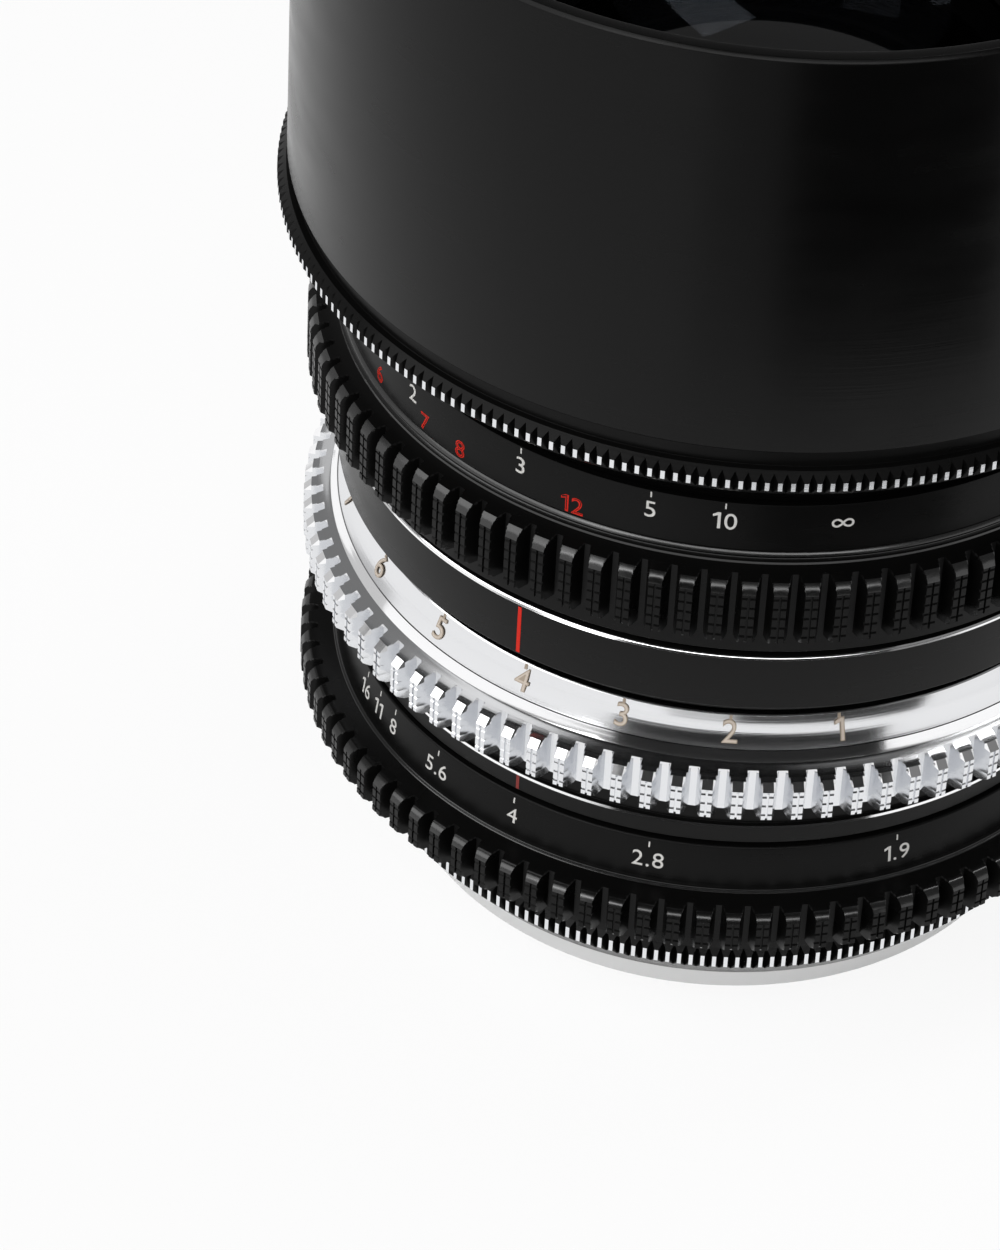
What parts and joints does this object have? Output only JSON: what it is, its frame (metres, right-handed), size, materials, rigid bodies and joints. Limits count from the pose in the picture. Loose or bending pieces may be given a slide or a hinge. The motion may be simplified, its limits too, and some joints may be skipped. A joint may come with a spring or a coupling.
{
  "type": "portrait lens",
  "caption": "Manual portrait camera lens with geared focus, softness and aperture rings, a deep fixed hood, an iris and a rear bayonet mount.",
  "frame": {"origin": "centre of the rear mounting face, on the optical axis", "axes": "+Z along the optical axis towards the subject, -Y towards the side with the index lines"},
  "size_m": [0.0824, 0.0824, 0.1118],
  "materials": {
    "black_anodised": "satin black anodised, fine turned",
    "ring_black": "satin black anodised with painted scale",
    "grip_black": "black anodised with bright cut lands",
    "ring_silver": "clear anodised, brushed",
    "flange_grey": "matte light grey",
    "nut_brass": "turned",
    "steel": "ground",
    "coated_glass": "coated optical glass",
    "blade_black": "matte black"
  },
  "bodies": {
    "base": {"mount_flange": "flange_grey", "mount_screws": "steel", "rear_light_baffle": "black_anodised", "rear_knurl_ring": "grip_black", "main_barrel": "black_anodised", "aperture_keeper": "black_anodised", "index_sleeve_rear": "black_anodised", "index_sleeve_front": "black_anodised", "focus_keeper": "black_anodised", "guide_keys": "steel"},
    "focus": {"focus_ring": "ring_black", "focus_nut": "nut_brass"},
    "block": {"lens_barrel": "black_anodised", "hood_clamp_ring": "grip_black", "hood_barrel": "black_anodised", "front_cell": "black_anodised", "front_trim_ring": "black_anodised", "front_crown_lens": "coated_glass", "front_flint_lens": "coated_glass", "front_lens_retainer": "black_anodised", "rear_cell": "black_anodised", "rear_lens": "coated_glass", "rear_lens_retainer": "black_anodised", "cam_keeper": "black_anodised", "iris_plate": "black_anodised", "iris_keeper": "black_anodised"},
    "bokeh": {"bokeh_ring": "ring_silver", "bokeh_drive_pin": "steel"},
    "cam": {"bokeh_cam_sleeve": "black_anodised"},
    "cell": {"bokeh_cell": "black_anodised", "bokeh_lens": "coated_glass", "bokeh_cell_retainer": "black_anodised", "bokeh_guide_pins": "steel"},
    "aperture": {"aperture_ring": "ring_black", "aperture_drive_pin": "steel"},
    "iris": {"iris_ring": "black_anodised"},
    "iris_blade_01": {"iris_blade_01": "blade_black"},
    "iris_blade_02": {"iris_blade_02": "blade_black"},
    "iris_blade_03": {"iris_blade_03": "blade_black"},
    "iris_blade_04": {"iris_blade_04": "blade_black"},
    "iris_blade_05": {"iris_blade_05": "blade_black"},
    "iris_blade_06": {"iris_blade_06": "blade_black"},
    "iris_blade_07": {"iris_blade_07": "blade_black"},
    "iris_blade_08": {"iris_blade_08": "blade_black"},
    "iris_blade_09": {"iris_blade_09": "blade_black"},
    "iris_blade_10": {"iris_blade_10": "blade_black"},
    "iris_blade_11": {"iris_blade_11": "blade_black"},
    "iris_blade_12": {"iris_blade_12": "blade_black"}
  },
  "joints": [
    {"name": "focus_turn", "type": "hinge", "parent": "base", "child": "focus", "pos_m": [0, 0, 0.052], "axis": [0, 0, 1], "range_deg": [-44.4, 135.6]},
    {"name": "block_slide", "type": "slide", "parent": "base", "child": "block", "axis": [0, 0, 1], "range_m": [-0.00223, 0.00679]},
    {"name": "bokeh_turn", "type": "hinge", "parent": "base", "child": "bokeh", "pos_m": [0, 0, 0.031], "axis": [0, 0, 1], "range_deg": [-47.1, 47.1]},
    {"name": "cam_turn", "type": "hinge", "parent": "block", "child": "cam", "pos_m": [0, 0, 0.025], "axis": [0, 0, 1], "range_deg": [-47.1, 47.1]},
    {"name": "cell_slide", "type": "slide", "parent": "block", "child": "cell", "axis": [0, 0, 1], "range_m": [-0.00301, 0.00301]},
    {"name": "aperture_turn", "type": "hinge", "parent": "base", "child": "aperture", "pos_m": [0, 0, 0.017], "axis": [0, 0, 1], "range_deg": [-56.68, 33.96]},
    {"name": "iris_turn", "type": "hinge", "parent": "block", "child": "iris", "pos_m": [0, 0, 0.054], "axis": [0, 0, 1], "range_deg": [-56.68, 33.96]},
    {"name": "iris_blade_01_turn", "type": "hinge", "parent": "block", "child": "iris_blade_01", "pos_m": [0, -0.0272, 0.05], "axis": [0, 0, 1], "range_deg": [-26.02, 15.6]},
    {"name": "iris_blade_02_turn", "type": "hinge", "parent": "block", "child": "iris_blade_02", "pos_m": [0.0136, -0.02356, 0.05], "axis": [0, 0, 1], "range_deg": [-26.02, 15.6]},
    {"name": "iris_blade_03_turn", "type": "hinge", "parent": "block", "child": "iris_blade_03", "pos_m": [0.02356, -0.0136, 0.05], "axis": [0, 0, 1], "range_deg": [-26.02, 15.6]},
    {"name": "iris_blade_04_turn", "type": "hinge", "parent": "block", "child": "iris_blade_04", "pos_m": [0.0272, 0, 0.05], "axis": [0, 0, 1], "range_deg": [-26.02, 15.6]},
    {"name": "iris_blade_05_turn", "type": "hinge", "parent": "block", "child": "iris_blade_05", "pos_m": [0.02356, 0.0136, 0.05], "axis": [0, 0, 1], "range_deg": [-26.02, 15.6]},
    {"name": "iris_blade_06_turn", "type": "hinge", "parent": "block", "child": "iris_blade_06", "pos_m": [0.0136, 0.02356, 0.05], "axis": [0, 0, 1], "range_deg": [-26.02, 15.6]},
    {"name": "iris_blade_07_turn", "type": "hinge", "parent": "block", "child": "iris_blade_07", "pos_m": [0, 0.0272, 0.05], "axis": [0, 0, 1], "range_deg": [-26.02, 15.6]},
    {"name": "iris_blade_08_turn", "type": "hinge", "parent": "block", "child": "iris_blade_08", "pos_m": [-0.0136, 0.02356, 0.05], "axis": [0, 0, 1], "range_deg": [-26.02, 15.6]},
    {"name": "iris_blade_09_turn", "type": "hinge", "parent": "block", "child": "iris_blade_09", "pos_m": [-0.02356, 0.0136, 0.05], "axis": [0, 0, 1], "range_deg": [-26.02, 15.6]},
    {"name": "iris_blade_10_turn", "type": "hinge", "parent": "block", "child": "iris_blade_10", "pos_m": [-0.0272, 0, 0.05], "axis": [0, 0, 1], "range_deg": [-26.02, 15.6]},
    {"name": "iris_blade_11_turn", "type": "hinge", "parent": "block", "child": "iris_blade_11", "pos_m": [-0.02356, -0.0136, 0.05], "axis": [0, 0, 1], "range_deg": [-26.02, 15.6]},
    {"name": "iris_blade_12_turn", "type": "hinge", "parent": "block", "child": "iris_blade_12", "pos_m": [-0.0136, -0.02356, 0.05], "axis": [0, 0, 1], "range_deg": [-26.02, 15.6]}
  ],
  "couplings": [
    {"joint": "block_slide", "follows": "focus_turn", "m_per_rad": 0.0028648},
    {"joint": "cam_turn", "follows": "bokeh_turn", "ratio": 1},
    {"joint": "cell_slide", "follows": "bokeh_turn", "m_per_rad": -0.0036493},
    {"joint": "iris_turn", "follows": "aperture_turn", "ratio": 1},
    {"joint": "iris_blade_01_turn", "follows": "aperture_turn", "ratio": 0.4588},
    {"joint": "iris_blade_02_turn", "follows": "aperture_turn", "ratio": 0.4588},
    {"joint": "iris_blade_03_turn", "follows": "aperture_turn", "ratio": 0.4588},
    {"joint": "iris_blade_04_turn", "follows": "aperture_turn", "ratio": 0.4588},
    {"joint": "iris_blade_05_turn", "follows": "aperture_turn", "ratio": 0.4588},
    {"joint": "iris_blade_06_turn", "follows": "aperture_turn", "ratio": 0.4588},
    {"joint": "iris_blade_07_turn", "follows": "aperture_turn", "ratio": 0.4588},
    {"joint": "iris_blade_08_turn", "follows": "aperture_turn", "ratio": 0.4588},
    {"joint": "iris_blade_09_turn", "follows": "aperture_turn", "ratio": 0.4588},
    {"joint": "iris_blade_10_turn", "follows": "aperture_turn", "ratio": 0.4588},
    {"joint": "iris_blade_11_turn", "follows": "aperture_turn", "ratio": 0.4588},
    {"joint": "iris_blade_12_turn", "follows": "aperture_turn", "ratio": 0.4588}
  ]
}
